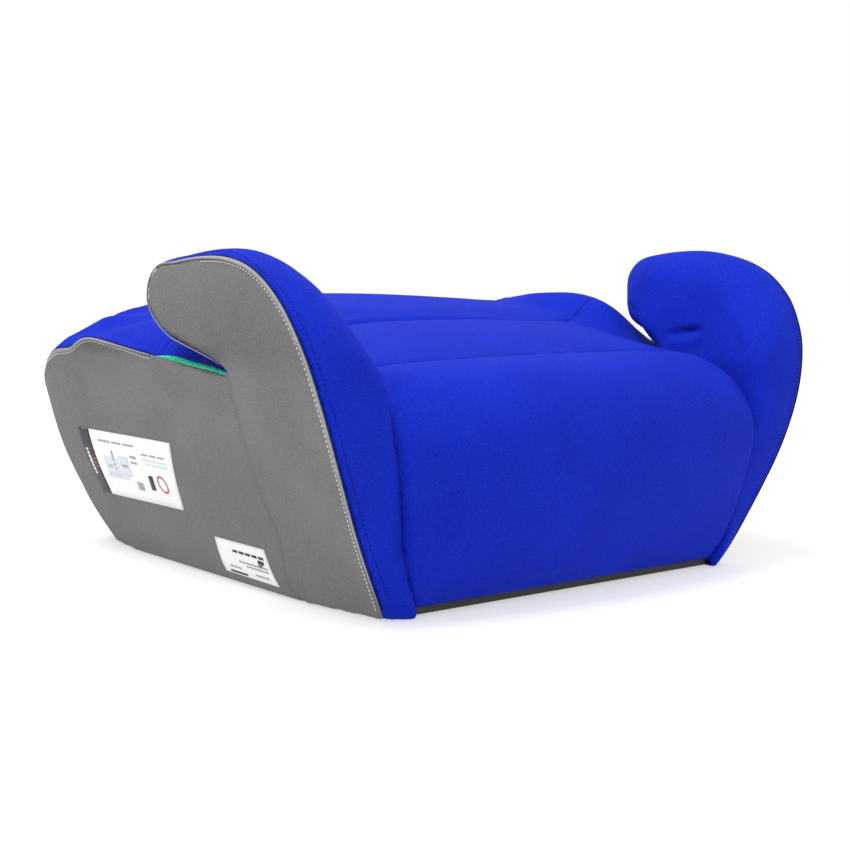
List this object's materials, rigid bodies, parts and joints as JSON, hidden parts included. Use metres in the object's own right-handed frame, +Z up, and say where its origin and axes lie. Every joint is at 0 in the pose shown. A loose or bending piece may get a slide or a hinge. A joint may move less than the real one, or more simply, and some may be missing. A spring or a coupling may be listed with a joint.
{
  "type": "booster seat",
  "caption": "Backless child booster seat with a padded knit cover, hooked armrests that form lap-belt paths and a flat base on rubber pads.",
  "frame": {"origin": "on the floor, under the middle of the seat's box", "axes": "+X across the seat towards the right armrest seen from behind, -Y towards the front panel, +Z up"},
  "size_m": [0.452, 0.439, 0.226],
  "materials": {
    "moulding_black": "fine texture",
    "screw_steel": "zinc plated",
    "pad_rubber": "matte",
    "foam": "open cell polyurethane foam",
    "knit_blue": "fine knit",
    "knit_grey": "fine knit",
    "trim_grey": "folded edge binding with topstitching",
    "lining_green": "ribbed mesh",
    "elastic_black": "woven elastic",
    "label_white": "smooth woven label"
  },
  "bodies": {
    "root": {"seat_shell": "moulding_black", "base_tray": "moulding_black", "armrest_core_left": "moulding_black", "armrest_core_right": "moulding_black", "armrest_screws": "screw_steel", "tray_screws": "screw_steel", "rubber_pads": "pad_rubber", "seat_foam": "foam", "front_foam": "foam", "armrest_foam_left": "foam", "armrest_foam_right": "foam", "front_panel": "knit_blue", "middle_panel": "knit_blue", "rear_panel": "knit_blue", "back_panel": "knit_grey", "gusset_left": "knit_blue", "gusset_right": "knit_blue", "side_panel_left": "knit_grey", "side_panel_right": "knit_grey", "edge_trim_left": "trim_grey", "edge_trim_right": "trim_grey", "belt_lining_left": "lining_green", "belt_lining_right": "lining_green", "hem_band": "elastic_black", "label_large": "label_white", "label_small": "label_white"}
  },
  "joints": []
}
